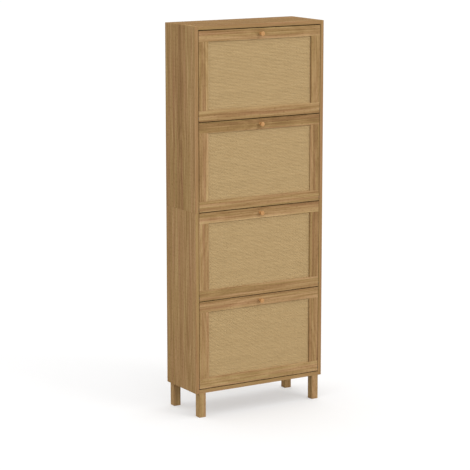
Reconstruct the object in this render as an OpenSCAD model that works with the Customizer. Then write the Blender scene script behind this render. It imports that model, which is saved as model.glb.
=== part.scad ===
// Tall, shallow shoe cabinet with four tip-out doors, one above another.
// Each door is a board frame round a woven panel, and carries a rack of two sloping shelves behind it.
// +X is right, -Y is the front, +Z is up, in millimetres.
// The origin is on the floor, under the middle of the box that holds the carcass and the knobs.

/* [Carcass] */
// Width across the side panels
cabinet_w = 600; // [520:10:800]
// Depth from the doors' faces to the back
carcass_d = 235; // [225:5:270]
// Height from the floor to the top
cabinet_h = 1570; // [1480:10:1700]
// Thickness of the carcass boards
board_t = 15; // [14:1:18]
// Thickness of the back panels
back_t = 3; // [2.5:0.5:5]
// Height of the cross rails inside the back
cross_rail_h = 60; // [45:5:80]

/* [Legs] */
// Height of the legs
leg_h = 100; // [60:5:140]
// Width and depth of the square legs
leg_w = 30; // [26:1:38]

/* [Doors] */
// Thickness of the door frames
door_t = 16; // [15:0.5:17]
// Gap above, below and between the doors
door_gap = 3.5; // [2.8:0.1:5]
// Gap between a door and the side panel
side_gap = 2.1; // [1.5:0.1:2.5]
// Width of the frame's rails and stiles
frame_w = 43; // [38:1:55]
// Depth of the woven panel behind the frame's face
panel_recess = 5; // [4:0.5:9.5]
// Thickness of the woven panel
panel_t = 4; // [3:0.5:4.5]
// Depth of the panel groove in the frame
groove_d = 8; // [6:1:10]

/* [Knobs] */
// Diameter of the knob's head
knob_d = 18; // [16:1:26]
// How far the knob stands out from the door
knob_out = 20; // [17:1:28]
// Diameter of the knob's neck
neck_d = 10; // [9:0.5:12]
// Height of the knob's straight neck, where its flare starts
neck_h = 4; // [3:0.5:6]
// Height of the knob's rim, from its flare to its face
knob_rim_h = 3.5; // [3:0.5:5]
// Radius of the rim's rounded edge
knob_round = 1.5; // [1:0.5:2.5]

/* [Tilt] */
// How far a door tips out, in degrees
open_angle = 40; // [30:1:45]
// Height of the pivot above the door's lower edge
pivot_up = 13; // [12:0.5:16]
// Diameter of the pivot pins
pin_d = 6; // [5:0.5:7]
// Length of a pivot pin inside the door
pin_in = 20; // [15:1:30]
// Length of a pivot pin inside the side panel
pin_reach = 10; // [8:0.5:10.5]
// Outer diameter of the pivot bushes
bush_d = 10; // [9:0.5:12]
// Diameter of the bushes' flanges
bush_flange_d = 16; // [14:1:20]
// Distance from the pivot to the stop stud
stop_r = 100; // [85:5:115]
// Diameter of the stop studs
stop_d = 8; // [6:0.5:10]
// Angle from the pivot up to the stop stud, in degrees from level
stop_angle = 70; // [60:1:72]

/* [Racks] */
// Thickness of the rack plates
plate_t = 3; // [2.5:0.5:4]
// Width of the flange that a plate is screwed on by
flange_w = 22; // [18:1:28]
// Width of the ribs and the rim on the plates' inner faces
rib_w = 10; // [8:1:14]
// Thickness of those ribs and that rim
rib_t = 2; // [1.5:0.5:3]
// Thickness of the rack shelves
shelf_t = 9; // [8:1:12]
// Slope of the lower shelf with the door shut, in degrees
lower_slope = 46; // [42:1:48]
// Slope of the upper shelf with the door shut, in degrees
upper_slope = 40; // [38:1:43]
// Upright room between the two shelves behind the door
tier_room = 62; // [55:1:68]
// Height of the lip along a shelf's low edge
lip_h = 15; // [10:1:20]
// Thickness of that lip
lip_t = 9; // [8:1:12]

/* [Fittings] */
// Diameter of the cam discs
cam_d = 15; // [12:1:15]
// Distance from a board's end to the middle of a cam disc
cam_back = 24; // [20:1:34]
// Diameter of the cam bolts' collars
cam_bolt_d = 7; // [6:0.5:7.5]
// Diameter of the cam bolts' threads
cam_thread_d = 5; // [4:0.5:6]
// Length of the cam bolts' threads
cam_thread_l = 11; // [9:0.5:11]
// Diameter of the dowels
dowel_d = 8; // [6:1:8]
// Length of the dowels
dowel_l = 30; // [25:1:35]
// Depth of a dowel in the face of a side panel
dowel_in = 10; // [8:0.5:10.5]
// Diameter of the leg screws
leg_screw_d = 5; // [4:0.5:6]
// Length of the leg screws
leg_screw_l = 50; // [40:1:60]
// Diameter of the small wood screws
screw_d = 3.5; // [3:0.1:4]
// Length of the small wood screws
screw_l = 13; // [11:1:14]
// Diameter of the back panels' screws
back_screw_d = 3; // [2.5:0.1:3.2]
// Length of the back panels' screws
back_screw_l = 16; // [12:1:20]
// Distance between the two wall brackets
bracket_apart = 400; // [300:10:420]
// Length of each arm of a wall bracket
bracket_arm = 30; // [26:1:36]
// Width of the wall brackets
bracket_w = 30; // [20:1:36]
// Thickness of the wall brackets
bracket_t = 2; // [1.5:0.1:3]
// Diameter of the wall fixing holes
wall_hole_d = 5.5; // [4.5:0.1:6.5]

/* [Clearances] */
// Radial clearance of a piece that is fixed in a hole
snug = 0.05; // [0.02:0.01:0.1]
// Radial clearance of a pivot pin in its bush
running = 0.05; // [0.03:0.01:0.1]
// Clearance of a board in a groove or a channel
slip = 0.1; // [0.05:0.05:0.2]
// Side clearance of a stop stud in its slot
slot_air = 0.5; // [0.3:0.1:1]
// Air between a rack at its nearest and the carcass below or behind it
rack_air = 4; // [3:0.5:6]
// Air between a tipping door or rack and the carcass above or behind it
swing_air = 7; // [5:0.5:9]

/* [Hidden] */
$fn = 48;
over = 1; // how far a cut runs past the face that it opens

door_count = 4;
split_door = 2; // the carcass is split under this door

// Carcass
inner_w = cabinet_w - 2 * board_t;
front_y = (knob_out - carcass_d) / 2;
back_y = front_y + carcass_d;
inner_back_y = back_y - back_t;

// Doors are numbered from the top
door_w = inner_w - 2 * side_gap;
door_h = (cabinet_h - leg_h - 2 * board_t - (door_count + 1) * door_gap) / door_count;
function door_z(i) = leg_h + board_t + door_gap + (door_count - i) * (door_h + door_gap);
function gap_z(i) = door_z(i) - door_gap / 2; // middle of the gap under door i
pivot_y = front_y + door_t / 2;
function pivot_z(i) = door_z(i) + pivot_up;
split_z = gap_z(split_door);

// Boards between the side panels, by their lower faces
bottom_z = leg_h;
middle_z = split_z - board_t;
top_z = cabinet_h - board_t;
board_zs = [bottom_z, middle_z, top_z];
middle_front_y = pivot_y + norm([door_t / 2, pivot_up]) + swing_air;
rail_y = inner_back_y - board_t; // front face of the cross rails
rail_doors = [1, 3]; // a cross rail lies behind the gap under each of these doors
function rail_z(i) = gap_z(i) - cross_rail_h;

// Screw heads
head_h = 2; // of a screw with a flat round head
function head_d(d) = 2 * d;

// Fittings: places from the front and back faces, or from the middle of a rail
cam_inset = 52.5;
dowel_inset = 87.5;
split_dowel_inset = 27;
cam_ys = [front_y + cam_inset, back_y - cam_inset];
dowel_ys = [front_y + dowel_inset, back_y - dowel_inset];
split_dowel_ys = [front_y + split_dowel_inset, back_y - split_dowel_inset];
rail_fit = cross_rail_h / 4; // cam above and dowel below the rail's middle
cam_floor = 2.5; // board left under a cam disc
cam_h = board_t - cam_floor;
cam_air = 0.3; // round the cam bolt's head and collar
cam_head_l = 4;
cam_head_in = 0.5; // how far the bolt's head reaches past the middle of its disc
cam_neck_d = 4.4;
hole_end = 0.5; // spare depth past a dowel or a pin
bush_over = 1; // how far a bush runs past its pin
bush_l = pin_reach + bush_over;
bush_air = 0.5; // between a bush's flange and the door

// Back panels lie in rebates half as wide as the boards
rebate = board_t / 2;
back_low = bottom_z + rebate;
back_mid = middle_z + rebate;
back_high = top_z + rebate;
back_screw_inset = 60;
back_rows = 4; // screws up each side of a back panel
row_xs = [-0.3, 0, 0.3] * inner_w;
function side_rows(low, high) =
    [for (k = [0 : back_rows - 1])
        low + back_screw_inset + k * (high - low - 2 * back_screw_inset) / (back_rows - 1)];
side_zs = concat(side_rows(back_low, back_mid), side_rows(back_mid, back_high));
row_zs = concat(
    [back_low + rebate / 2, back_mid - rebate / 2, back_mid + rebate / 2, back_high - rebate / 2],
    [for (i = rail_doors) rail_z(i) + cross_rail_h / 2]
);
back_screws = concat(
    [for (side = [-1, 1], z = side_zs) [side * (inner_w + rebate) / 2, z]],
    [for (x = row_xs, z = row_zs) [x, z]]
);

// Wall brackets
bracket_hole = 18; // distance from a bracket's corner to its holes
bracket_zs = top_z - bracket_hole;

// Door pieces, measured from the pivot: y is back from it and z is up from it
door_low = -pivot_up;
door_high = door_h - pivot_up;
groove_t = panel_t + 2 * slip;
groove_y = -door_t / 2 + panel_recess;
knob_up = door_high - frame_w / 2;
knob_foot = 1; // how far the knob's foot stands out from its neck
knob_foot_h = 1.5;
knob_screw_d = 4;
knob_screw_in = 11;

// Racks, measured from the pivot
beside = 0.3; // air between two pieces that lie beside each other without a fit
plate_x = door_w / 2; // outer face of the right plate
plate_low = rack_air - pivot_up - door_gap / 2;
plate_back = inner_back_y - pivot_y - rack_air;
plate_r = middle_z - pivot_z(split_door + 1) - swing_air;
flange_short = 20; // how far a flange ends below the top of its plate
flange_high = plate_r - flange_short;
rack_front = door_t / 2 + plate_t + beside;
shelf_half = plate_x - plate_t - slip;
lip_half = plate_x - plate_t - rib_w - beside;
plate_edge = 1; // plate left behind a channel's closed end
back_room = rib_t + slip + plate_edge; // between a shelf's low end and the plate's back edge
function shelf_back(slope) = plate_back - back_room - (shelf_t + lip_h) * sin(slope);
lower_back = shelf_back(lower_slope);
upper_back = shelf_back(upper_slope);
lower_low = plate_low + back_room;
lower_front = lower_low + (lower_back - rack_front) * tan(lower_slope);
lower_front_top = lower_front + shelf_t / cos(lower_slope);
upper_low = lower_front_top + tier_room - (upper_back - rack_front) * tan(upper_slope);
shelves = [[lower_back, lower_low, lower_slope], [upper_back, upper_low, upper_slope]];
function shelf_length(s) = (s[0] - rack_front) / cos(s[2]);

// Screws up a plate's flange: two below the lower shelf, and one between the shelves
flange_screw_x = plate_x - flange_w / 2;
flange_screw_zs = [0.3 * lower_front, 0.75 * lower_front, lower_front_top + tier_room / 2];

// Stop studs and the slots that they run in
slot_play = atan(beside / stop_r);
stud_in = 9; // stud inside the side panel
stud_short = 0.5; // how far a stud ends inside its slot
stud_end = plate_x - plate_t + stud_short;

// Colours
oak = [0.64, 0.51, 0.35];
knob_beech = [0.78, 0.60, 0.40];
cane = [0.71, 0.60, 0.43];
shelf_white = [0.86, 0.84, 0.80];
hardboard = [0.52, 0.40, 0.27];
nylon = [0.90, 0.90, 0.88];
plastic_grey = [0.35, 0.35, 0.36];
zinc = [0.72, 0.73, 0.74];
beech = [0.80, 0.67, 0.48];

door_parts = [
    "top_rail", "bottom_rail", "left_stile", "right_stile", "woven_panel",
    "knob", "left_rack_plate", "right_rack_plate", "rack_shelves", "pins_and_screws"
];

// ---------- Shared shapes ----------

// A box between two corners
module block(low, high) {
    translate(low) cube(high - low);
}

// Extrudes a side view, drawn as back and up, from x0 to x1
module along_x(x0, x1) {
    translate([x0, 0, 0]) rotate([90, 0, 90]) linear_extrude(x1 - x0) children();
}

// Places a side view with its x axis up a shelf's slope from its low back corner, and y out of its top
module on_slope(s) {
    translate([s[0], s[1]]) rotate(-s[2]) mirror([1, 0]) children();
}

// Screw along Z, with its head's face at 0 and its point below
module countersunk_screw(d, length, room = 0) {
    cone_h = (head_d(d) - d) / 2;
    translate([0, 0, -length - room]) cylinder(d = d + 2 * room, h = length + room - cone_h / 2);
    translate([0, 0, -cone_h]) cylinder(d1 = d + 2 * room, d2 = head_d(d) + 2 * room, h = cone_h);
}

// Cross recess cut into a head of diameter d whose face is at 0
module driver_recess(d) {
    arm = 0.55 * d;
    slot = 0.13 * d;
    deep = 0.2 * d;
    for (turn = [0, 90])
        rotate(turn) block([-arm / 2, -slot / 2, -deep], [arm / 2, slot / 2, over]);
}

// Screw along Z with a flat round head, which lies on the face at 0
module pan_screw(d, length) {
    translate([0, 0, -length]) cylinder(d = d, h = length + head_h / 2);
    difference() {
        cylinder(d = head_d(d), h = head_h);
        translate([0, 0, head_h]) driver_recess(head_d(d));
    }
}

module recessed_screw(d, length) {
    difference() {
        countersunk_screw(d, length);
        driver_recess(head_d(d));
    }
}

// ---------- Places ----------

// A board's end in the corner of a side panel: x runs into the board, and z to the cam's open face
module at_board_ends(side_list, ys, zs) {
    for (side = side_list, y = ys, z = zs)
        translate([side * inner_w / 2, y, z + board_t / 2])
            rotate([180, 0, side > 0 ? 180 : 0]) children();
}

// The same at a cross rail's ends, offset up or down from the rail's middle
module at_rail_ends(side_list, doors, offset) {
    for (side = side_list, i = doors)
        translate([side * inner_w / 2, rail_y + board_t / 2, rail_z(i) + cross_rail_h / 2 + offset])
            rotate([side > 0 ? 90 : -90, 0, side > 0 ? 180 : 0]) children();
}

module at_split_dowels(side_list) {
    for (side = side_list, y = split_dowel_ys)
        translate([side * (inner_w + board_t) / 2, y, split_z]) children();
}

module at_pivot(i) {
    translate([0, pivot_y, pivot_z(i)]) children();
}

// On a side panel's inner face, at the pivot or at the stop stud: x runs into the panel
module at_pivot_seat(side, i) {
    at_pivot(i) translate([side * inner_w / 2, 0, 0]) rotate([0, side * 90, 0]) children();
}

module at_stop_seat(side, i) {
    at_pivot(i) translate([side * inner_w / 2, stop_r * cos(stop_angle), stop_r * sin(stop_angle)])
        rotate([0, side * 90, 0]) children();
}

// Back screws within a stretch of x and z
module at_back_screws(x0, x1, z0, z1) {
    for (s = back_screws)
        if (s[0] > x0 && s[0] < x1 && s[1] > z0 && s[1] < z1)
            translate([s[0], back_y, s[1]]) rotate([-90, 0, 0]) children();
}

module at_leg_corner(side, back) {
    translate([side * (inner_w - leg_w) / 2, back ? back_y - leg_w / 2 : front_y + leg_w / 2, 0])
        children();
}

module at_leg_screws(side, back) {
    at_leg_corner(side, back)
        for (step = [-1, 1])
            translate([step * leg_w / 4, step * leg_w / 4, leg_h + board_t]) children();
}

module at_brackets() {
    for (side = [-1, 1]) translate([side * bracket_apart / 2, inner_back_y, top_z]) children();
}

// ---------- Holes ----------

module cam_cut() {
    rotate([0, 90, 0]) translate([0, 0, -over]) cylinder(d = cam_bolt_d + 2 * cam_air, h = cam_back + over);
    translate([cam_back, 0, board_t / 2 - cam_h]) cylinder(d = cam_d + 2 * snug, h = cam_h + over);
}

module cam_thread_cut() {
    rotate([0, -90, 0]) translate([0, 0, -over])
        cylinder(d = cam_thread_d + 2 * snug, h = cam_thread_l + hole_end + over);
}

// Dowel along X, with a given length on each side of the joint
module dowel_rod(into_side, into_board, room = 0) {
    translate([-into_side - room, 0, 0]) rotate([0, 90, 0])
        cylinder(d = dowel_d + 2 * min(room, snug), h = into_side + into_board + 2 * room);
}

module dowel_cut() {
    dowel_rod(dowel_in, dowel_l - dowel_in, hole_end);
}

module split_dowel(room = 0) {
    translate([0, 0, -dowel_l / 2 - room])
        cylinder(d = dowel_d + 2 * min(room, snug), h = dowel_l + 2 * room);
}

module back_screw_cut() {
    countersunk_screw(back_screw_d, back_screw_l, snug);
}

module leg_screw_cut() {
    countersunk_screw(leg_screw_d, leg_screw_l, snug);
}

// ---------- Carcass ----------

// One half of a side panel, with its seats for boards, pivots and the back panels
module side_panel(side, low, high) {
    inner = side * inner_w / 2;
    outer = side * cabinet_w / 2;
    lodge = side * (inner_w / 2 + rebate);
    color(oak) difference() {
        block([min(inner, outer), front_y, low], [max(inner, outer), back_y, high]);
        block(
            [min(inner - side * over, lodge), inner_back_y, max(low - over, back_low)],
            [max(inner - side * over, lodge), back_y + over, min(high + over, back_high)]
        );
        for (z = board_zs)
            if (z + board_t / 2 > low && z + board_t / 2 < high) {
                at_board_ends([side], cam_ys, [z]) cam_thread_cut();
                at_board_ends([side], dowel_ys, [z]) dowel_cut();
            }
        for (i = rail_doors)
            if (rail_z(i) > low && rail_z(i) < high) {
                at_rail_ends([side], [i], rail_fit) cam_thread_cut();
                at_rail_ends([side], [i], -rail_fit) dowel_cut();
            }
        for (i = [1 : door_count])
            if (pivot_z(i) > low && pivot_z(i) < high) {
                at_pivot_seat(side, i) translate([0, 0, -over])
                    cylinder(d = bush_d + 2 * snug, h = bush_l + over);
                at_stop_seat(side, i) translate([0, 0, -over])
                    cylinder(d = stop_d + 2 * snug, h = stud_in + over);
            }
        at_split_dowels([side]) split_dowel(hole_end);
        at_back_screws(min(inner, outer), max(inner, outer), low, high) back_screw_cut();
    }
}

// Cuts shared by the boards between the side panels
module board_cuts(z) {
    at_board_ends([-1, 1], cam_ys, [z]) cam_cut();
    at_board_ends([-1, 1], dowel_ys, [z]) dowel_cut();
    at_back_screws(-inner_w / 2, inner_w / 2, z, z + board_t) back_screw_cut();
}

module top_panel() {
    color(oak) difference() {
        block([-inner_w / 2, front_y, top_z], [inner_w / 2, back_y, cabinet_h]);
        block([-inner_w / 2 - over, inner_back_y, top_z - over], [inner_w / 2 + over, back_y + over, back_high]);
        board_cuts(top_z);
        at_brackets() translate([0, -bracket_hole, 0]) rotate([180, 0, 0])
            cylinder(d = screw_d + 2 * snug, h = screw_l * 2, center = true);
    }
}

module middle_shelf() {
    color(oak) difference() {
        block([-inner_w / 2, middle_front_y, middle_z], [inner_w / 2, inner_back_y, split_z]);
        board_cuts(middle_z);
    }
}

module bottom_panel() {
    color(oak) difference() {
        block([-inner_w / 2, front_y, bottom_z], [inner_w / 2, back_y, bottom_z + board_t]);
        block(
            [-inner_w / 2 - over, inner_back_y, back_low],
            [inner_w / 2 + over, back_y + over, bottom_z + board_t + over]
        );
        board_cuts(bottom_z);
        for (side = [-1, 1], back = [false, true]) at_leg_screws(side, back) leg_screw_cut();
    }
}

module cross_rails() {
    color(oak) for (i = rail_doors) difference() {
        block([-inner_w / 2, rail_y, rail_z(i)], [inner_w / 2, inner_back_y, rail_z(i) + cross_rail_h]);
        at_rail_ends([-1, 1], [i], rail_fit) cam_cut();
        at_rail_ends([-1, 1], [i], -rail_fit) dowel_cut();
        at_back_screws(-inner_w / 2, inner_w / 2, rail_z(i), rail_z(i) + cross_rail_h) back_screw_cut();
    }
}

module back_panel(low, high) {
    half = inner_w / 2 + rebate - slip;
    color(hardboard) difference() {
        block([-half, inner_back_y, low + slip], [half, back_y, high - slip]);
        at_back_screws(-half, half, low, high) back_screw_cut();
        if (bracket_zs < high)
            at_brackets() translate([0, 0, -bracket_hole]) rotate([-90, 0, 0])
                cylinder(d = wall_hole_d, h = 3 * back_t, center = true);
    }
}

module leg(side, back) {
    color(oak) difference() {
        at_leg_corner(side, back) block([-leg_w / 2, -leg_w / 2, 0], [leg_w / 2, leg_w / 2, leg_h]);
        at_leg_screws(side, back) leg_screw_cut();
    }
}

// ---------- Fittings ----------

// Plain bushes let into the side panels, with a flange that keeps the door off the panel
module pivot_bushes() {
    flange_t = side_gap - bush_air;
    color(nylon) for (side = [-1, 1], i = [1 : door_count]) at_pivot_seat(side, i) difference() {
        union() {
            cylinder(d = bush_d, h = bush_l - snug);
            translate([0, 0, -flange_t]) cylinder(d = bush_flange_d, h = flange_t);
        }
        translate([0, 0, -flange_t - over]) cylinder(d = pin_d + 2 * running, h = flange_t + bush_l + 2 * over);
    }
}

module stop_studs() {
    color(nylon) for (side = [-1, 1], i = [1 : door_count]) at_stop_seat(side, i)
        translate([0, 0, stud_end - inner_w / 2])
            cylinder(d = stop_d, h = inner_w / 2 - stud_end + stud_in - snug);
}

// A bolt in the side panel, whose head is held by a disc that turns in the board
module cam_fitting() {
    head = cam_back - cam_head_l + cam_head_in;
    rotate([0, 90, 0]) {
        translate([0, 0, -cam_thread_l]) cylinder(d = cam_thread_d, h = cam_thread_l + over);
        cylinder(d = cam_bolt_d, h = cam_back / 2);
        cylinder(d = cam_neck_d, h = head + over);
        translate([0, 0, head]) cylinder(d = cam_bolt_d, h = cam_head_l);
    }
    difference() {
        translate([cam_back, 0, board_t / 2 - cam_h + snug]) cylinder(d = cam_d, h = cam_h - snug);
        translate([cam_back - cam_d, 0, 0]) rotate([0, 90, 0])
            cylinder(d = cam_bolt_d + 2 * cam_air, h = cam_d + 2 * over);
        translate([cam_back, 0, board_t / 2]) driver_recess(0.8 * cam_d);
    }
}

module cam_fittings() {
    color(zinc) {
        at_board_ends([-1, 1], cam_ys, board_zs) cam_fitting();
        at_rail_ends([-1, 1], rail_doors, rail_fit) cam_fitting();
    }
}

module dowels() {
    color(beech) {
        at_board_ends([-1, 1], dowel_ys, board_zs) dowel_rod(dowel_in, dowel_l - dowel_in);
        at_rail_ends([-1, 1], rail_doors, -rail_fit) dowel_rod(dowel_in, dowel_l - dowel_in);
        at_split_dowels([-1, 1]) split_dowel();
    }
}

// Angles under the top panel, whose upright arm takes a screw through the back panel into the wall
module wall_brackets() {
    half = bracket_w / 2;
    color(zinc) at_brackets() difference() {
        union() {
            block([-half, -bracket_arm, -bracket_t], [half, 0, 0]);
            block([-half, -bracket_t, -bracket_arm], [half, 0, 0]);
        }
        translate([0, -bracket_hole, 0]) cylinder(d = screw_d + 2 * snug, h = 3 * bracket_t, center = true);
        translate([0, 0, -bracket_hole]) rotate([90, 0, 0])
            cylinder(d = wall_hole_d, h = 3 * bracket_t, center = true);
    }
}

module carcass_screws() {
    color(zinc) {
        for (side = [-1, 1], back = [false, true])
            at_leg_screws(side, back) recessed_screw(leg_screw_d, leg_screw_l);
        at_back_screws(-cabinet_w / 2, cabinet_w / 2, 0, cabinet_h)
            recessed_screw(back_screw_d, back_screw_l);
        at_brackets() translate([0, -bracket_hole, -bracket_t]) rotate([180, 0, 0])
            pan_screw(screw_d, screw_l);
    }
}

// ---------- Doors ----------

// Groove along the frame's inner edge
module groove(x0, x1, z0, z1) {
    block([x0, groove_y, z0], [x1, groove_y + groove_t, z1]);
}

module top_rail(i) {
    low = door_high - frame_w;
    color(oak) at_pivot(i) difference() {
        block([-door_w / 2, -door_t / 2, low], [door_w / 2, door_t / 2, door_high]);
        groove(-door_w / 2 - over, door_w / 2 + over, low - over, low + groove_d);
        translate([0, 0, knob_up]) rotate([90, 0, 0])
            cylinder(d = knob_screw_d + 2 * snug, h = 2 * door_t, center = true);
    }
}

module bottom_rail(i) {
    high = door_low + frame_w;
    color(oak) at_pivot(i) difference() {
        block([-door_w / 2, -door_t / 2, door_low], [door_w / 2, door_t / 2, high]);
        groove(-door_w / 2 - over, door_w / 2 + over, high - groove_d, high + over);
        for (side = [-1, 1])
            translate([side * (door_w / 2 + over), 0, 0]) rotate([0, -side * 90, 0])
                cylinder(d = pin_d + 2 * snug, h = pin_in + hole_end + over);
    }
}

// An upright of the frame, with a tongue at each end that fills the rails' grooves
module stile(side, i) {
    low = door_low + frame_w;
    high = door_high - frame_w;
    inner = door_w / 2 - frame_w;
    color(oak) at_pivot(i) mirror([side < 0 ? 1 : 0, 0, 0]) difference() {
        union() {
            block([inner, -door_t / 2, low], [door_w / 2, door_t / 2, high]);
            block(
                [inner + groove_d, groove_y + slip, low - groove_d + hole_end],
                [door_w / 2, groove_y + slip + panel_t, high + groove_d - hole_end]
            );
        }
        groove(inner - over, inner + groove_d, low - over, high + over);
        for (z = flange_screw_zs)
            translate([flange_screw_x, door_t / 2 + over, z]) rotate([90, 0, 0])
                cylinder(d = screw_d + 2 * snug, h = screw_l - plate_t + hole_end + over);
    }
}

module woven_panel(i) {
    half = door_w / 2 - frame_w + groove_d - hole_end;
    reach = frame_w - groove_d + hole_end;
    color(cane) at_pivot(i)
        block([-half, groove_y + slip, door_low + reach], [half, groove_y + slip + panel_t, door_high - reach]);
}

// Turned knob: x is out from the knob's axis, and y is out from the door
module knob_profile() {
    neck = neck_d / 2;
    head = knob_d / 2;
    polygon([
        [0, 0], [neck + knob_foot, 0], [neck, knob_foot_h], [neck, neck_h], [head, knob_out - knob_rim_h],
        [head, knob_out - knob_round], [head - knob_round, knob_out], [0, knob_out]
    ]);
    translate([head - knob_round, knob_out - knob_round]) circle(knob_round);
}

module knob(i) {
    color(knob_beech) at_pivot(i) translate([0, -door_t / 2, knob_up]) rotate([90, 0, 0]) difference() {
        rotate_extrude() intersection() {
            knob_profile();
            square([knob_d, knob_out]);
        }
        translate([0, 0, -over]) cylinder(d = knob_screw_d + 2 * snug, h = knob_screw_in + hole_end + over);
    }
}

// ---------- Racks ----------

// Slot along an arc round the pivot
module arc_slot(r, width, from, to) {
    far = 2 * r;
    intersection() {
        difference() {
            circle(r + width / 2);
            circle(r - width / 2);
        }
        polygon([[0, 0], far * [cos(from), sin(from)], far * [cos(to), sin(to)]]);
    }
    for (a = [from, to]) translate(r * [cos(a), sin(a)]) circle(d = width);
}

// Channel that a shelf's end slides into, closed at its low end
module shelf_channel(s) {
    length = shelf_length(s);
    on_slope(s) {
        translate([-rib_t - slip, -rib_t - slip]) square([length + rib_t + slip, rib_t]);
        translate([-rib_t - slip, shelf_t + slip]) square([length + rib_t + slip, rib_t]);
        translate([-rib_t - slip, -rib_t - slip]) square([rib_t, shelf_t + 2 * (rib_t + slip)]);
    }
}

// Plate that swings with the door, drawn for the right side
module rack_plate(side, i) {
    inner = plate_x - plate_t;
    color(plastic_grey) at_pivot(i) mirror([side < 0 ? 1 : 0, 0, 0]) difference() {
        union() {
            along_x(inner, plate_x) intersection() {
                circle(plate_r);
                translate([door_t / 2, plate_low]) square([plate_back - door_t / 2, plate_r]);
            }
            along_x(inner - rib_w / 2, inner + over) intersection() {
                difference() {
                    circle(plate_r);
                    circle(plate_r - rib_t);
                }
                translate([door_t / 2, 0]) square([plate_back - door_t / 2, plate_r]);
            }
            along_x(inner - rib_w, inner + over) for (s = shelves) shelf_channel(s);
            block(
                [plate_x - flange_w, door_t / 2, plate_low],
                [plate_x, door_t / 2 + plate_t, flange_high]
            );
        }
        along_x(inner - over, plate_x + over)
            arc_slot(stop_r, stop_d + 2 * slot_air, stop_angle - open_angle - slot_play, stop_angle + slot_play);
        for (z = flange_screw_zs)
            translate([flange_screw_x, door_t / 2, z]) rotate([90, 0, 0])
                cylinder(d = screw_d + 2 * snug, h = 3 * plate_t, center = true);
    }
}

// Two sloping shelves, each with a lip along its low edge
module rack_shelves(i) {
    color(shelf_white) at_pivot(i) for (s = shelves) {
        along_x(-shelf_half, shelf_half) on_slope(s) square([shelf_length(s), shelf_t]);
        along_x(-lip_half, lip_half) on_slope(s) translate([0, shelf_t + slip]) square([lip_t, lip_h]);
    }
}

// Pivot pins, the plates' screws and the knob's screw
module pins_and_screws(i) {
    color(zinc) at_pivot(i) {
        for (side = [-1, 1]) {
            translate([side * (door_w / 2 - pin_in), 0, 0]) rotate([0, side * 90, 0])
                cylinder(d = pin_d, h = pin_in + side_gap + pin_reach);
            for (z = flange_screw_zs)
                translate([side * flange_screw_x, door_t / 2 + plate_t, z]) rotate([-90, 0, 0])
                    pan_screw(screw_d, screw_l);
        }
        translate([0, door_t / 2, knob_up]) rotate([-90, 0, 0])
            pan_screw(knob_screw_d, door_t + knob_screw_in);
    }
}

// ---------- Nodes ----------

side_panel(-1, leg_h, split_z);  // side_left_lower
side_panel(-1, split_z, cabinet_h);  // side_left_upper
side_panel(1, leg_h, split_z);  // side_right_lower
side_panel(1, split_z, cabinet_h);  // side_right_upper
top_panel();
middle_shelf();
bottom_panel();
cross_rails();
back_panel(back_low, back_mid);  // back_panel_lower
back_panel(back_mid, back_high);  // back_panel_upper
leg(-1, false);  // leg_front_left
leg(1, false);  // leg_front_right
leg(-1, true);  // leg_back_left
leg(1, true);  // leg_back_right
pivot_bushes();
stop_studs();
cam_fittings();
dowels();
wall_brackets();
carcass_screws();
for (i = [1 : door_count]) {
    top_rail(i);
    bottom_rail(i);
    stile(-1, i);
    stile(1, i);
    woven_panel(i);
    knob(i);
    rack_plate(-1, i);
    rack_plate(1, i);
    rack_shelves(i);
    pins_and_screws(i);
}
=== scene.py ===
"""Looks of a tall shoe cabinet with four tip-out doors, built round its packed construction.

The boards are chipboard faced with an oak-grain foil. Each door holds a panel of cane strands woven on a
thin fibreboard, and a knob turned from beech. Behind it tips a rack of two white shelves between moulded
plates. Lengths are in metres, and a name that ends in _mm holds millimetres. +X is right, -Y is the front
and +Z is up.
"""

import logging
import math
import random
from dataclasses import dataclass, field
from enum import Enum

import bmesh
import bpy
import numpy as np
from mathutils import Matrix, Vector


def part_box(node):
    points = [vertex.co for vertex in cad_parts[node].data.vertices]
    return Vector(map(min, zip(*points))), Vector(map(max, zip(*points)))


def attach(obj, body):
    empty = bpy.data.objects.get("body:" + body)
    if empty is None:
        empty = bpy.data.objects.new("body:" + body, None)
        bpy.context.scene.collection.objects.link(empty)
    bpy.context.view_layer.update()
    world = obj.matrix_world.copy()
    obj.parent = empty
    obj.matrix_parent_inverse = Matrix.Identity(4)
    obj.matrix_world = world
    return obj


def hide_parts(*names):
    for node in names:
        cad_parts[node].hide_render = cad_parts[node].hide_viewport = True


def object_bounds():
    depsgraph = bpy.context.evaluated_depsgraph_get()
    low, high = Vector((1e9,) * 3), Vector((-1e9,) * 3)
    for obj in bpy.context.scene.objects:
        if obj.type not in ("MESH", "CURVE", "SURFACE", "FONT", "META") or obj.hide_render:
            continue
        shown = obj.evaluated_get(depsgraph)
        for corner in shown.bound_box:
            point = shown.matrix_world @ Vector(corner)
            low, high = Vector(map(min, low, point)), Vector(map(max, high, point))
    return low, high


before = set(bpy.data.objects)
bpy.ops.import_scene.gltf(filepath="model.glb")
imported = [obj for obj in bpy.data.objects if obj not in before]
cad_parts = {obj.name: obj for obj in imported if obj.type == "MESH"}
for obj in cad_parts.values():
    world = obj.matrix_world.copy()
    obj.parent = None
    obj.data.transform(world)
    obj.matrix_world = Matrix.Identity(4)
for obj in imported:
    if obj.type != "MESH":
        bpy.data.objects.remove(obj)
CAD_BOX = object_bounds()

MM = 0.001
EVEN = 1e6  # a texture's cell in millimetres along an axis that it doesn't change along
WELD = 1e-6  # points nearer than this are one
WAVE_TURN = math.pi / 10  # a wave texture's ring spacing at a scale of 1

# The meshes' attributes
GRAIN = "grain"  # a place along, across and through a board's grain
TONE = "tone"  # how much lighter or darker a board or strand is
SHOWN = "shown"  # how strongly a board's grain shows
STRAND = "strand"  # a place along a strand, across it, and in the strand's own layer of the pattern

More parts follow.
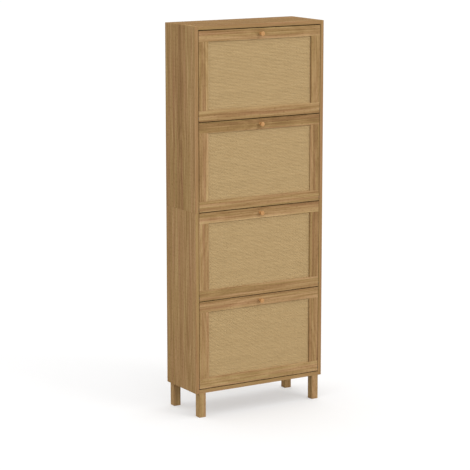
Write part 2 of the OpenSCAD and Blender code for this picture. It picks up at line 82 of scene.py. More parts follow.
Tree = bpy.types.NodeTree
Socket = bpy.types.NodeSocket
Material = bpy.types.Material
Mesh = bpy.types.Mesh

log = logging.getLogger("shoe_cabinet")


class Axis(Enum):
    """One of the frame's axes, by its number in a vector."""

    X = 0
    Y = 1
    Z = 2


class Slot(Enum):
    """The record's material slots, listed here; no piece takes its finish from them."""

    OAK = "oak_board"
    CANE = "woven_cane"
    KNOB = "knob_beech"
    SHELF = "shelf_board"
    PLASTIC = "rack_plastic"
    HARDBOARD = "hardboard"


class Tone(Enum):
    """In hundredths, how much lighter than the foil's middle a stretch of board is: print, and in places
    painted light.
    """

    DEEP = -11
    PLAIN = 0
    LIGHT = 9
    PALE = 21
    PALEST = 35


# ---------- Helpers ----------


def linear(hex_colour: str) -> tuple[float, float, float, float]:
    """Turns an sRGB hex colour into linear RGBA.

    Args:
        hex_colour: The colour, such as "#A5845A".

    Returns:
        Its linear red, green and blue, and an alpha of 1.
    """
    shares = [int(hex_colour[i : i + 2], 16) / 255 for i in (1, 3, 5)]
    red, green, blue = (s / 12.92 if s <= 0.04045 else ((s + 0.055) / 1.055) ** 2.4 for s in shares)
    return red, green, blue, 1.0


def add_node(
    tree: Tree, kind: str, inputs: dict[str | int, object] | None = None, **settings: object
) -> bpy.types.Node:
    """Adds one node with its settings and links.

    Args:
        tree: The node tree of a material or of the world.
        kind: The node's type, such as "ShaderNodeTexNoise".
        inputs: A value, or an output socket to link, for each input's name or number.
        **settings: The node's own properties.

    Returns:
        The new node.
    """
    node = tree.nodes.new(kind)
    for name, value in settings.items():
        setattr(node, name, value)
    for key, value in (inputs or {}).items():
        if isinstance(value, Socket):
            tree.links.new(value, node.inputs[key])
        else:
            node.inputs[key].default_value = value
    return node


def new_material(name: str) -> tuple[Material, Tree]:
    """Makes a material with an empty node tree.

    Args:
        name: The finish that it shows.

    Returns:
        The material and its tree.
    """
    material = bpy.data.materials.new(name)
    material.use_nodes = True
    material.node_tree.nodes.clear()
    return material, material.node_tree


def drawn_out(tree: Tree, place: Socket, *lengths_mm: float) -> Socket:
    """Scales places so that one cell of a texture is as long as given along each axis.

    Args:
        tree: The material's tree.
        place: The places, in metres.
        *lengths_mm: The cell's length along each of the three axes, in millimetres.

    Returns:
        The scaled places.
    """
    scale = tuple(1 / (length * MM) for length in lengths_mm)
    return add_node(tree, "ShaderNodeVectorMath", {0: place, 1: scale}, operation="MULTIPLY").outputs[0]


def colour_steps(tree: Tree, factor: Socket, steps: dict[float, str]) -> Socket:
    """Turns a number into a colour between named steps.

    Args:
        tree: The material's tree.
        factor: The number.
        steps: The sRGB hex colour at each place from 0 to 1.

    Returns:
        The colour.
    """
    ramp = add_node(tree, "ShaderNodeValToRGB", {0: factor})
    stops = ramp.color_ramp.elements
    while len(stops) < len(steps):
        stops.new(0.5)
    for stop, (place, hex_colour) in zip(stops, sorted(steps.items())):
        stop.position = place
        stop.color = linear(hex_colour)
    return ramp.outputs[0]


def new_piece(name: str, mesh: Mesh, body: str, finish: Material) -> bpy.types.Object:
    """Puts a mesh in the scene as a piece that rides on a CAD body.

    Args:
        name: The piece's name.
        mesh: Its mesh, in the frame at rest.
        body: The CAD body that carries it.
        finish: Its material.

    Returns:
        The new piece.
    """
    mesh.materials.clear()
    mesh.materials.append(finish)
    piece = bpy.data.objects.new(name, mesh)
    bpy.context.scene.collection.objects.link(piece)
    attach(piece, body)
    log.info("%s: %d faces on %s", name, len(mesh.polygons), body)
    return piece


def rounded_copy(node: str, radius: float, cuts: list[tuple[Axis, float]] | None = None) -> Mesh:
    """Copies a CAD node's mesh, joins its flat faces and rounds its long square edges.

    Args:
        node: The CAD node.
        radius: Radius of the edges.
        cuts: Planes where the faces stay divided, each as its axis and its place.

    Returns:
        The new mesh.
    """
    shape = bmesh.new()
    shape.from_mesh(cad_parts[node].data)
    bmesh.ops.remove_doubles(shape, verts=shape.verts, dist=WELD)
    for axis, place in cuts or []:
        normal = Vector((0, 0, 0))
        normal[axis.value] = 1
        cut = bmesh.ops.bisect_plane(
            shape,
            geom=shape.verts[:] + shape.edges[:] + shape.faces[:],
            plane_co=normal * place,
            plane_no=normal,
        )
        for part in cut["geom_cut"]:
            if isinstance(part, bmesh.types.BMEdge):
                part.seam = True
    bmesh.ops.dissolve_limit(
        shape, angle_limit=math.radians(0.5), verts=shape.verts, edges=shape.edges, delimit={"SEAM"}
    )
    shortest = 8 * MM  # leaves the rims of bores alone
    square = [
        e
        for e in shape.edges
        if e.is_manifold
        and e.is_convex
        and e.calc_length() > shortest
        and abs(e.calc_face_angle() - math.pi / 2) < math.radians(1)
    ]
    bevel = bmesh.ops.bevel(
        shape, geom=square, offset=radius, offset_type="OFFSET", segments=3, profile=0.5, affect="EDGES"
    )
    for face in bevel["faces"]:
        face.smooth = True
    for edge in shape.edges:
        edge.seam = False
    mesh = bpy.data.meshes.new(f"{node}_mesh")
    shape.to_mesh(mesh)
    shape.free()
    return mesh


def rounded_piece(node: str, body: str, edge_mm: float, finish: Material) -> bpy.types.Object:
    """Makes a piece in the shape of its CAD node with its long edges rounded, and hides the node.

    Args:
        node: The CAD node that it stands for.
        body: The CAD body that carries it.
        edge_mm: Radius of the long edges.
        finish: Its material.

    Returns:
        The new piece.
    """
    piece = new_piece(f"{node}_rounded", rounded_copy(node, edge_mm * MM), body, finish)
    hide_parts(node)
    return piece


# ---------- Finishes ----------


@dataclass(frozen=True)
class OakFoil:
    """Printed oak-grain foil on chipboard: matt and even, with straight streaks and some arched rings."""

    darkest: str = "#765837"
    middle: str = "#A68458"
    lightest: str = "#CFAD7F"
    streak_mm: tuple[float, float] = (1400, 18)  # length and width of the broad streaks
    streak_share: float = 0.6  # how much they change the shade, and so on for the other shares
    line_mm: tuple[float, float] = (350, 4.5)  # length and width of the growth lines
    line_share: float = 0.85
    fibre_mm: tuple[float, float] = (120, 1.8)
    fibre_share: float = 0.65
    hue_mm: tuple[float, float] = (500, 14)  # length and width of the redder and yellower streaks
    hue_turn: float = 0.05  # how far they turn the hue
    hue_rest: float = 0.525  # the noise level that leaves the hue alone
    ring_mm: float = 11  # spacing of the arched rings
    ring_share: float = 0.12
    ring_slant: float = 0.08  # how steeply the board cuts the tree
    heart_every_mm: float = 700  # length over which the tree's heart wanders
    heart_sway: tuple[float, float, float] = (0, 0.10, 0.16)
    heart_under: tuple[float, float, float] = (0, -0.05, -0.04)  # from the board's face to the heart
    pore_mm: tuple[float, float] = (14, 0.7)  # drawn twice as wide as real pores, so that they show
    pore_share: float = 0.35
    pore_from: float = 0.60  # noise level at a pore's edge
    pore_full: float = 0.72  # and in its middle
    pore_deep_mm: float = 0.1
    pore_duller: float = 0.12  # how much rougher a pressed pore is than the foil round it
    roughness: float = 0.75
    gloss: float = 0.01  # the foil's lacquer is dead matt, so it mirrors less than a bare plastic film

    def make(self) -> Material:
        """Builds the material.

        Returns:
            The foil's material, which reads the board's grain and tone.
        """
        material, tree = new_material("oak_grain_foil")
        grain = add_node(tree, "ShaderNodeAttribute", attribute_name=GRAIN).outputs["Vector"]
        tone = add_node(tree, "ShaderNodeAttribute", attribute_name=TONE).outputs["Fac"]
        shown = add_node(tree, "ShaderNodeAttribute", attribute_name=SHOWN).outputs["Fac"]
        zero = self.streak_share + self.line_share + self.fibre_share + self.ring_share
        shade = self._streaks(tree, grain, self.streak_mm, 3, self.streak_share, -zero / 2)
        shade = self._streaks(tree, grain, self.line_mm, 2, self.line_share, shade)
        shade = self._streaks(tree, grain, self.fibre_mm, 1, self.fibre_share, shade)
        rings = self._rings(tree, grain)
        shade = add_node(
            tree, "ShaderNodeMath", {0: rings, 1: self.ring_share, 2: shade}, operation="MULTIPLY_ADD"
        ).outputs[0]
        pores = self._pores(tree, grain)
        shade = add_node(
            tree, "ShaderNodeMath", {0: pores, 1: -self.pore_share, 2: shade}, operation="MULTIPLY_ADD"
        ).outputs[0]
        shade = add_node(
            tree, "ShaderNodeMath", {0: shade, 1: shown, 2: tone}, operation="MULTIPLY_ADD"
        ).outputs[0]
        shade = add_node(tree, "ShaderNodeMath", {0: shade, 1: 0.5}, operation="ADD").outputs[0]
        colour = colour_steps(tree, shade, {0: self.darkest, 0.5: self.middle, 1: self.lightest})
        colour = self._redder_streaks(tree, grain, colour)
        # The foil's own gloss is low, and its pressed pores are duller still.
        rough = add_node(
            tree,
            "ShaderNodeMath",
            {0: pores, 1: self.pore_duller, 2: self.roughness},
            operation="MULTIPLY_ADD",
        ).outputs[0]
        pressed = add_node(
            tree,
            "ShaderNodeBump",
            {"Height": pores, "Strength": 0.25, "Distance": self.pore_deep_mm * MM},
            invert=True,
        ).outputs[0]
        surface = add_node(
            tree,
            "ShaderNodeBsdfPrincipled",
            {
                "Base Color": colour,
                "Roughness": rough,
                "Normal": pressed,
                "IOR": 1.45,
                "Specular IOR Level": self.gloss,
            },
        )
        add_node(tree, "ShaderNodeOutputMaterial", {"Surface": surface.outputs[0]})
        return material

    def _streaks(
        self,
        tree: Tree,
        grain: Socket,
        cell_mm: tuple[float, float],
        detail: int,
        share: float,
        base: Socket | float,
    ) -> Socket:
        """Adds streaks of one size to a shade.

        Args:
            tree: The material's tree.
            grain: Places along, across and through the grain.
            cell_mm: Length and width of the streaks.
            detail: How many finer sizes of streak go with them.
            share: How much they change the shade.
            base: The shade so far.

        Returns:
            The shade with the streaks.
        """
        length, width = cell_mm
        place = drawn_out(tree, grain, length, width, width)
        noise = add_node(
            tree, "ShaderNodeTexNoise", {"Vector": place, "Scale": 1, "Detail": detail, "Roughness": 0.6}
        )
        return add_node(
            tree, "ShaderNodeMath", {0: noise.outputs[0], 1: share, 2: base}, operation="MULTIPLY_ADD"
        ).outputs[0]

    def _redder_streaks(self, tree: Tree, grain: Socket, colour: Socket) -> Socket:
        """Turns a colour a little redder or yellower from streak to streak.

        Args:
            tree: The material's tree.
            grain: Places along, across and through the grain.
            colour: The colour.

        Returns:
            The colour with its streaks.
        """
        length, width = self.hue_mm
        # The shift takes these streaks away from those of the shade.
        shift = (7.0, 3.0, 5.0)
        moved = add_node(tree, "ShaderNodeVectorMath", {0: grain, 1: shift}, operation="ADD").outputs[0]
        noise = add_node(
            tree,
            "ShaderNodeTexNoise",
            {"Vector": drawn_out(tree, moved, length, width, width), "Scale": 1, "Detail": 2},
        ).outputs[0]
        base = 0.5 - self.hue_rest * self.hue_turn  # a hue of 0.5 changes nothing
        hue = add_node(
            tree, "ShaderNodeMath", {0: noise, 1: self.hue_turn, 2: base}, operation="MULTIPLY_ADD"
        ).outputs[0]
        return add_node(tree, "ShaderNodeHueSaturation", {"Hue": hue, "Color": colour}).outputs[0]

    def _rings(self, tree: Tree, grain: Socket) -> Socket:
        """Draws the tree's growth rings, which the board cuts at a slant, so that they arch.

        Args:
            tree: The material's tree.
            grain: Places along, across and through the grain.

        Returns:
            The rings, from 0 to 1.
        """
        along = drawn_out(tree, grain, self.heart_every_mm, EVEN, EVEN)
        wander = add_node(tree, "ShaderNodeTexNoise", {"Vector": along, "Scale": 1, "Detail": 2}).outputs[1]
        # The heart of the tree runs some centimetres under the face and wanders by as much.
        heart = add_node(
            tree,
            "ShaderNodeVectorMath",
            {0: wander, 1: self.heart_sway, 2: self.heart_under},
            operation="MULTIPLY_ADD",
        ).outputs[0]
        place = add_node(tree, "ShaderNodeVectorMath", {0: grain, 1: heart}, operation="ADD").outputs[0]
        place = add_node(
            tree, "ShaderNodeVectorMath", {0: place, 1: (self.ring_slant, 1, 1)}, operation="MULTIPLY"
        ).outputs[0]
        return add_node(
            tree,
            "ShaderNodeTexWave",
            {
                "Vector": place,
                "Scale": WAVE_TURN / (self.ring_mm * MM),
                "Distortion": 2.5,
                "Detail": 2,
                "Detail Scale": 0.5,
            },
            wave_type="RINGS",
            rings_direction="X",
        ).outputs["Fac"]

    def _pores(self, tree: Tree, grain: Socket) -> Socket:
        """Draws short dark pores along the grain.

        Args:
            tree: The material's tree.
            grain: Places along, across and through the grain.

        Returns:
            1 in a pore and 0 beside it.
        """
        length, width = self.pore_mm
        place = drawn_out(tree, grain, length, width, width)
        noise = add_node(tree, "ShaderNodeTexNoise", {"Vector": place, "Scale": 1, "Detail": 0})
        return add_node(
            tree,
            "ShaderNodeMapRange",
            {"Value": noise.outputs[0], "From Min": self.pore_from, "From Max": self.pore_full},
            interpolation_type="SMOOTHSTEP",
        ).outputs[0]


@dataclass(frozen=True)
class CaneStrand:
    """Split cane, peeled and woven: pale straw colour, with fine fibres along each strand."""

    darkest: str = "#9A7D4C"
    middle: str = "#C4A573"
    lightest: str = "#DCC18F"
    patch_mm: float = 70  # length of the lighter and darker stretches
    patch_share: float = 0.5  # how much they change the shade
    fibre_mm: tuple[float, float] = (12, 0.4)  # length and width of the fibres
    fibre_share: float = 0.5
    fibre_deep_mm: float = 0.1
    layer_mm: float = 1000  # a cell's depth through the pattern, in which each strand has its own layer
    roughness: float = 0.6

    def make(self) -> Material:
        """Builds the material.

        Returns:
            The cane's material, which reads each strand's places and tone.
        """
        material, tree = new_material("split_cane")
        strand = add_node(tree, "ShaderNodeAttribute", attribute_name=STRAND).outputs["Vector"]
        tone = add_node(tree, "ShaderNodeAttribute", attribute_name=TONE).outputs["Fac"]
        place = drawn_out(tree, strand, self.patch_mm, EVEN, self.layer_mm)
        patches = add_node(tree, "ShaderNodeTexNoise", {"Vector": place, "Scale": 1, "Detail": 2}).outputs[0]
        place = drawn_out(tree, strand, *self.fibre_mm, self.layer_mm)
        fibres = add_node(tree, "ShaderNodeTexNoise", {"Vector": place, "Scale": 1, "Detail": 1}).outputs[0]
        shade = tone
        for pattern, share in ((patches, self.patch_share), (fibres, self.fibre_share)):
            shade = add_node(
                tree, "ShaderNodeMath", {0: pattern, 1: share, 2: shade}, operation="MULTIPLY_ADD"
            ).outputs[0]
        colour = colour_steps(tree, shade, {0: self.darkest, 0.5: self.middle, 1: self.lightest})
        ridged = add_node(
            tree, "ShaderNodeBump", {"Height": fibres, "Strength": 0.3, "Distance": self.fibre_deep_mm * MM}
        ).outputs[0]
        surface = add_node(
            tree,
            "ShaderNodeBsdfPrincipled",
            {"Base Color": colour, "Roughness": self.roughness, "Normal": ridged, "IOR": 1.45},
        )
        add_node(tree, "ShaderNodeOutputMaterial", {"Surface": surface.outputs[0]})
        return material


@dataclass(frozen=True)
class TurnedBeech:
    """Beech, turned and oiled: warm and even, with short flecks along the turning axis and a soft sheen."""

    darkest: str = "#A06E3C"
    middle: str = "#C8955D"
    lightest: str = "#DAA871"
    streak_mm: tuple[float, float] = (30, 3)  # length and width of the streaks
    fleck_mm: tuple[float, float] = (4, 0.6)
    fleck_share: float = 0.3  # how much the flecks change the shade
    roughness: float = 0.42
    gloss: float = 0.3

    def make(self) -> Material:
        """Builds the material.

        Returns:
            The beech, with its grain along Y.
        """
        material, tree = new_material("turned_beech")
        place = add_node(tree, "ShaderNodeTexCoord").outputs["Object"]
        length, width = self.streak_mm
        streaks = add_node(
            tree,
            "ShaderNodeTexNoise",
            {"Vector": drawn_out(tree, place, width, length, width), "Scale": 1, "Detail": 3},
        ).outputs[0]
        length, width = self.fleck_mm
        flecks = add_node(
            tree,
            "ShaderNodeTexVoronoi",
            {"Vector": drawn_out(tree, place, width, length, width), "Scale": 1},
        ).outputs["Distance"]
        shade = add_node(
            tree, "ShaderNodeMath", {0: flecks, 1: self.fleck_share, 2: streaks}, operation="MULTIPLY_ADD"
        ).outputs[0]
        shade = add_node(
            tree, "ShaderNodeMath", {0: shade, 1: self.fleck_share / 2}, operation="SUBTRACT"
        ).outputs[0]
        colour = colour_steps(tree, shade, {0.2: self.darkest, 0.5: self.middle, 0.8: self.lightest})
        surface = add_node(
            tree,
            "ShaderNodeBsdfPrincipled",
            {
                "Base Color": colour,
                "Roughness": self.roughness,
                "IOR": 1.5,
                "Specular IOR Level": self.gloss,
            },
        )
        add_node(tree, "ShaderNodeOutputMaterial", {"Surface": surface.outputs[0]})
        return material


@dataclass(frozen=True)
class PlainFinish:
    """A finish that is even but for a mottle and a fine surface texture.

    Attributes:
        name: What it is and how it was made.
        low: sRGB hex colour of its darker places.
        high: sRGB hex colour of its lighter places.
        mottle_mm: Size of the mottle along each axis.
        texture_mm: Size of the surface texture's grit.
        texture_deep_mm: Depth of that texture.
        roughness: Roughness of the surface.
        metallic: 1 for a metal, and 0 for the rest.
    """

    name: str
    low: str
    high: str
    mottle_mm: tuple[float, float, float]
    texture_mm: float
    texture_deep_mm: float
    roughness: float
    metallic: float = 0.0

    def make(self) -> Material:
        """Builds the material.

        Returns:
            The finish's material.
        """
        material, tree = new_material(self.name)
        place = add_node(tree, "ShaderNodeTexCoord").outputs["Object"]
        mottle = add_node(
            tree,
            "ShaderNodeTexNoise",
            {"Vector": drawn_out(tree, place, *self.mottle_mm), "Scale": 1, "Detail": 5},
        ).outputs[0]
        colour = colour_steps(tree, mottle, {0.3: self.low, 0.7: self.high})
        grit = add_node(
            tree, "ShaderNodeTexNoise", {"Vector": place, "Scale": 1 / (self.texture_mm * MM), "Detail": 1}
        ).outputs[0]
        textured = add_node(
            tree, "ShaderNodeBump", {"Height": grit, "Strength": 0.5, "Distance": self.texture_deep_mm * MM}
        ).outputs[0]
        surface = add_node(
            tree,
            "ShaderNodeBsdfPrincipled",
            {
                "Base Color": colour,
                "Roughness": self.roughness,
                "Metallic": self.metallic,
                "Normal": textured,
            },
        )
        add_node(tree, "ShaderNodeOutputMaterial", {"Surface": surface.outputs[0]})
        return material


# White melamine gives a clean, faintly orange-peeled white that is a little glossier than the foil.
WHITE_MELAMINE = PlainFinish("white_melamine_board", "#DDD9D1", "#E3DFD8", (60, 60, 60), 3.0, 0.02, 0.4)
# Spark-eroded moulds leave an even, dull grain on grey polypropylene.
MOULDED_PLASTIC = PlainFinish(
    "moulded_grey_polypropylene", "#58585A", "#5E5E60", (40, 40, 40), 0.9, 0.05, 0.55
)
# Dark moulded nylon looks smooth and waxy.
MOULDED_NYLON = PlainFinish("moulded_nylon", "#2E2A27", "#35312D", (20, 20, 20), 2.0, 0.01, 0.45)
# Zinc plating is a cool bright grey, dulled in patches.
ZINC_PLATE = PlainFinish("zinc_plated_steel", "#AEB2B5", "#C9CCCD", (9, 9, 9), 1.5, 0.01, 0.32, 1.0)
# Hardboard is pressed wood fibre: brown, mottled with short fibres, slightly rough.
HARDBOARD = PlainFinish("pressed_hardboard", "#7A5C3D", "#927050", (9, 9, 5), 1.2, 0.08, 0.7)
# A kraft-brown fibreboard backs the cane, so no light comes through the weave.
PANEL_BACKING = PlainFinish("thin_fibreboard", "#9A7A4E", "#AB8B60", (12, 12, 6), 1.0, 0.05, 0.75)
# Fluted dowels are raw beech.
RAW_BEECH = PlainFinish("raw_beech", "#C6A478", "#D6B68A", (30, 1.2, 1.2), 0.8, 0.03, 0.6)


@dataclass
class Finishes:
    """Each finish, made once."""

    oak: Material = field(default_factory=lambda: OakFoil().make())
    cane: Material = field(default_factory=lambda: CaneStrand().make())
    beech: Material = field(default_factory=lambda: TurnedBeech().make())
    melamine: Material = field(default_factory=WHITE_MELAMINE.make)
    plastic: Material = field(default_factory=MOULDED_PLASTIC.make)
    nylon: Material = field(default_factory=MOULDED_NYLON.make)
    zinc: Material = field(default_factory=ZINC_PLATE.make)
    hardboard: Material = field(default_factory=HARDBOARD.make)
    backing: Material = field(default_factory=PANEL_BACKING.make)
    dowel: Material = field(default_factory=RAW_BEECH.make)


def dress(node: str, finish: Material) -> None:
    """Gives a CAD node that stays its finish.

    Args:
        node: The CAD node.
        finish: Its material.
    """
    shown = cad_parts[node]
    if not shown.material_slots:
        shown.data.materials.append(None)
    for holder in shown.material_slots:
        holder.link = "OBJECT"
        holder.material = finish
    log.info("%s: kept from the construction, in %s", node, finish.name)


# ---------- Boards ----------


@dataclass
class OakBoard:
    """One foil-faced board, in the shape of its CAD node with its long edges rounded.

    Attributes:
        node: The CAD node that it stands for.
        body: The CAD body that carries it.
        grain: The axis that the foil's grain follows.
        bands: The foil's tone at even steps across the board.
        edging: How much lighter the banding on its long edges is than its faces, in hundredths.
        edge_grain: How strongly the grain shows on the banding.
        edge_mm: Radius of the long edges.
    """

    node: str
    body: str
    grain: Axis
    bands: tuple[Tone, ...] = (Tone.PLAIN, Tone.PLAIN)
    edging: int = 0
    edge_grain: float = 0.4
    edge_mm: float = 0.6

    ROLL = 90  # length of the printed roll, from which each board takes its own stretch
    HEART = (0.1, 0.9)  # where the tree's heart may lie, as shares of the board's width
    TONE_SPREAD = 0.01  # how far a whole board may be from the tones given for it

    def build(self, finish: Material) -> bpy.types.Object:
        """Makes the board and hides its CAD node.

        Args:
            finish: The foil.

        Returns:
            The board.
        """
        low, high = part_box(self.node)
        along, across, through = self._axes()
        steps = len(self.bands) - 1
        cuts = [(Axis(across), low[across] + (high - low)[across] * k / steps) for k in range(1, steps)]
        mesh = rounded_copy(self.node, self.edge_mm * MM, cuts)
        self._lay_foil(mesh, along, across, through)
        piece = new_piece(f"{self.node}_board", mesh, self.body, finish)
        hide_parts(self.node)
        return piece

    def _axes(self) -> tuple[int, int, int]:
        """Returns the axes along, across and through the board."""
        low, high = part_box(self.node)
        rest = [k for k in range(3) if k != self.grain.value]
        across, through = sorted(rest, key=lambda k: low[k] - high[k])
        return self.grain.value, across, through

    def _lay_foil(self, mesh: Mesh, along: int, across: int, through: int) -> None:
        """Writes each corner's place in the grain, and its tone.

        Args:
            mesh: The board's mesh.
            along: The axis along the grain.
            across: The axis across it.
            through: The axis through the board.
        """
        low, high = (np.array(corner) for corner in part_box(self.node))
        chance = random.Random(self.node)
        points = np.empty(len(mesh.vertices) * 3, np.float32)
        mesh.vertices.foreach_get("co", points)
        vertex = np.empty(len(mesh.loops), np.int32)
        mesh.loops.foreach_get("vertex_index", vertex)
        place = points.reshape(-1, 3)[vertex] - low
        normals = np.array([p.normal for p in mesh.polygons])
        corners = [p.loop_total for p in mesh.polygons]
        facing = np.repeat(np.abs(normals).argmax(1), corners)
        # The banding on a board's ends runs along the end.
        order = np.where((facing == along)[:, None], (across, through, along), (along, across, through))
        grain = np.take_along_axis(place, order, 1)
        # Each board comes from its own stretch of the print, and the tree's heart lies somewhere across it.
        grain[:, 0] += chance.uniform(0, self.ROLL)
        grain[:, 1] -= chance.uniform(*self.HEART) * (high - low)[across]
        shares = place[:, across] / (high - low)[across]
        bands = [tone.value for tone in self.bands]
        tone = np.interp(shares, np.linspace(0, 1, len(bands)), bands)
        tone = (tone + self.edging * (facing == across)) / 100
        tone += chance.uniform(-self.TONE_SPREAD, self.TONE_SPREAD)
        shown = np.where(facing == through, 1.0, self.edge_grain)
        places = mesh.attributes.new(GRAIN, "FLOAT_VECTOR", "CORNER")
        places.data.foreach_set("vector", grain.astype(np.float32).ravel())
        for name, values in ((TONE, tone), (SHOWN, shown)):
            layer = mesh.attributes.new(name, "FLOAT", "CORNER")
            layer.data.foreach_set("value", values.astype(np.float32))


@dataclass
class Carcass:
    """The fixed cabinet: sides in two halves, cross boards, legs, back panels and what joins them."""

    body: str = "cabinet"
    # From the front edge to the back one
    upper_bands: tuple[Tone, ...] = (Tone.LIGHT, Tone.LIGHT, Tone.DEEP, Tone.PLAIN, Tone.PLAIN)
    lower_bands: tuple[Tone, ...] = (Tone.LIGHT, Tone.PLAIN, Tone.LIGHT, Tone.PLAIN, Tone.PLAIN)
    # Each leg's tone is painted light: the legs are made lighter than the boards to make up for the shade of
    # the cabinet above them and the dim floor below.
    leg_tones: dict[str, Tone] = field(
        default_factory=lambda: {
            "front_left": Tone.PALE,
            "front_right": Tone.LIGHT,
            "back_left": Tone.LIGHT,
            "back_right": Tone.PLAIN,
        }
    )

    def build(self, finishes: Finishes) -> None:
        """Makes the boards and dresses the fittings.

        Args:
            finishes: The finishes.
        """
        boards = [
            # The top panel's deep tone is painted shade, because its face gets more light from above than
            # the fronts do; its edging lifts the front edge back near the fronts' tone.
            OakBoard("top_panel", self.body, Axis.X, (Tone.DEEP, Tone.DEEP), edging=9),
            OakBoard("middle_shelf", self.body, Axis.X),
            OakBoard("bottom_panel", self.body, Axis.X, edging=7),
            OakBoard("cross_rails", self.body, Axis.X),
        ]
        for side in ("left", "right"):
            boards.append(OakBoard(f"side_{side}_upper", self.body, Axis.Z, self.upper_bands, edging=-6))
            boards.append(OakBoard(f"side_{side}_lower", self.body, Axis.Z, self.lower_bands, edging=-6))
        for leg, tone in self.leg_tones.items():
            boards.append(
                OakBoard(f"leg_{leg}", self.body, Axis.Z, (tone, tone), edge_grain=1.0, edge_mm=0.8)
            )
        for board in boards:
            board.build(finishes.oak)
        for node in ("back_panel_lower", "back_panel_upper"):
            rounded_piece(node, self.body, 0.5, finishes.hardboard)
        for node in ("pivot_bushes", "stop_studs"):
            dress(node, finishes.nylon)
        for node in ("cam_fittings", "wall_brackets", "carcass_screws"):
            dress(node, finishes.zinc)
        dress("dowels", finishes.dowel)


# ---------- Woven panels ----------


@dataclass(frozen=True)
class Strands:
    """One set of parallel cane strands, each of which runs over and under the strands of the other set.

    Attributes:
        name: The set's name.
        run: The axis that the strands follow.
        pitch_mm: Distance between two strands.
        width_mm: A strand's width.
        thickness_mm: A strand's thickness.
        lift_mm: How far a strand's middle rises and falls at a crossing.
        starts_over: Whether the first strand passes in front at the first crossing.
        spread: How much the strands differ in tone.
    """

    name: str
    run: Axis
    pitch_mm: float
    width_mm: float
    thickness_mm: float
    lift_mm: float
    starts_over: bool
    spread: float

    # A strand's section: places across it and out of it, as shares of its width and thickness
    SECTION = ((-0.5, 0.0), (-0.27, 0.43), (0.27, 0.43), (0.5, 0.0), (0.0, -0.4))
    STEPS = 3  # sections from one crossing to the next
    ASTRAY_MM = 0.12  # how far a strand lies off its place, as a spread
    SWAY_MM = 0.15  # how far it sways along its run
    SWAY_TURN = 0.35  # how quickly it sways, in radians from one crossing to the next
    UNEVEN = 0.03  # spread of the strands' widths, as a share

    def count(self, extent: float) -> int:
        """Returns how many strands lie side by side in a given extent."""
        return round(extent / (self.pitch_mm * MM))

    def weave(self, low: Vector, high: Vector, middle_y: float, crossings: int) -> Mesh:
        """Makes the strands as one mesh.

        Args:
            low: The panel's lowest corner.
            high: The panel's highest corner.
            middle_y: The weave's middle, from front to back.
            crossings: How many strands of the other set each strand meets.

        Returns:
            The mesh, with each strand's places, tone and unrolled map.
        """
        run, side = self.run.value, 2 - self.run.value
        count = self.count((high - low)[side])
        chance = np.random.default_rng(len(self.name) * 100 + count)
        steps = np.arange(crossings * self.STEPS + 1) / self.STEPS
        strand = np.arange(count)
        section = np.array(self.SECTION)
        corners = len(section)

        phase = math.pi * (steps[None, :] - 0.5 + strand[:, None] + (0 if self.starts_over else 1))
        lift = self.lift_mm * MM * np.cos(phase)
        middle = low[side] + (strand + 0.5) * (high - low)[side] / count
        middle += chance.normal(0, self.ASTRAY_MM * MM, count)
        turned = steps[None, :] * self.SWAY_TURN + chance.uniform(0, 6.3, (count, 1))
        sway = self.SWAY_MM * MM * np.sin(turned)
        width = self.width_mm * MM * (1 + chance.normal(0, self.UNEVEN, count))
        along = low[run] + steps * (high - low)[run] / crossings

        co = np.empty((count, len(steps), corners, 3), np.float32)
        co[..., run] = along[None, :, None]
        co[..., side] = (middle[:, None] + sway)[..., None] + section[:, 0] * width[:, None, None]
        co[..., 1] = middle_y - lift[..., None] - section[:, 1] * self.thickness_mm * MM
        mesh = self._mesh(co)
        self._mark(mesh, co, chance.normal(0, self.spread, count))
        return mesh

    def _mesh(self, co: np.ndarray) -> Mesh:
        """Joins the sections of each strand into a closed tube.

        Args:
            co: Points by strand, step and corner of the section.

        Returns:
            The mesh.
        """
        count, steps, corners, _ = co.shape
        number = np.arange(count * steps * corners).reshape(count, steps, corners)
        ahead = np.roll(number, -1, axis=2)
        sides = np.stack([number[:, :-1], ahead[:, :-1], ahead[:, 1:], number[:, 1:]], -1).reshape(-1, 4)
        if self.run is Axis.Z:
            sides = sides[:, ::-1]
        first, last = number[:, 0], number[:, -1]
        ends = (first[:, ::-1], last) if self.run is Axis.X else (first, last[:, ::-1])
        mesh = bpy.data.meshes.new(self.name)
        mesh.from_pydata(co.reshape(-1, 3), [], sides.tolist() + np.concatenate(ends).tolist())
        mesh.shade_smooth()
        return mesh

    def _mark(self, mesh: Mesh, co: np.ndarray, tones: np.ndarray) -> None:
        """Writes each point's place on its strand, its tone, and a map of the strands side by side.

        Args:
            mesh: The strands.
            co: Points by strand, step and corner of the section.
            tones: Each strand's own tone.
        """
        count, steps, corners, _ = co.shape
        number, step, corner = np.unravel_index(np.arange(count * steps * corners), (count, steps, corners))
        height = np.array(self.SECTION)[corner, 0] * self.width_mm * MM
        # Each strand starts elsewhere along the fibres and lies in its own layer of the pattern.
        start, layer = 0.37, 5.0
        marks = np.stack([co[..., self.run.value].ravel() + number * start, height, number * layer], -1)
        places = mesh.attributes.new(STRAND, "FLOAT_VECTOR", "POINT")
        places.data.foreach_set("vector", marks.astype(np.float32).ravel())
        shades = mesh.attributes.new(TONE, "FLOAT", "POINT")
        shades.data.foreach_set("value", tones[number].astype(np.float32))

        vertex = np.empty(len(mesh.loops), np.int32)
        mesh.loops.foreach_get("vertex_index", vertex)
        face = np.repeat(np.arange(len(mesh.polygons)), [p.loop_total for p in mesh.polygons])
        row = corner[vertex].astype(float)
        # The face that closes a section's round starts again at the round's first corner.
        closing = np.zeros(len(mesh.polygons), bool)
        np.logical_or.at(closing, face, row == corners - 1)
        row[(row == 0) & closing[face]] = corners
        # Bare margins keep the strands apart on the map, and off its ends.
        beside, at_ends = 0.06, 0.01
        across = (number[vertex] + beside + (1 - 2 * beside) * row / corners) / count
        along = at_ends + (1 - 2 * at_ends) * step[vertex] / (steps - 1)
        unrolled = np.stack([along, across], -1)
        mesh.uv_layers.new(name="OFBake").data.foreach_set("uv", unrolled.astype(np.float32).ravel())


